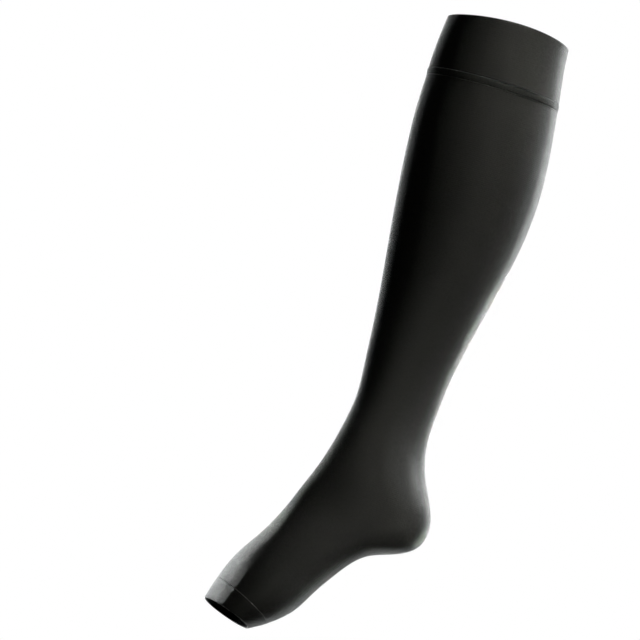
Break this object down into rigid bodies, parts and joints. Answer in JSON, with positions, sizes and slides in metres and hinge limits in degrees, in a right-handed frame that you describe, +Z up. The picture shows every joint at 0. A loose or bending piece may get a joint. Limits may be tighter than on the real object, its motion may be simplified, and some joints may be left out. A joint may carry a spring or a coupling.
{
  "type": "compression stocking",
  "caption": "Knee-high compression stocking with a snug top band, a shaped heel and an open toe, filled out and hollow as when worn.",
  "frame": {"origin": "middle of the top band, on the leg's axis, where the wearer's calf holds the stocking up", "axes": "+Z up the leg, from the toe towards the knee; -X towards the toes; +Y sideways across the leg"},
  "size_m": [0.1735, 0.109, 0.5329],
  "materials": {
    "leg_knit": "charcoal-black fine elastic knit, soft low sheen",
    "band_knit": "black closer doubled knit, matt",
    "seam_knit": "charcoal-black sewn strip with thread along both edges",
    "hem_knit": "black turned knit hem, matt"
  },
  "bodies": {
    "root": {"leg_and_foot": "leg_knit", "top_band": "band_knit", "seam_strip": "seam_knit", "toe_band": "hem_knit"}
  },
  "joints": []
}
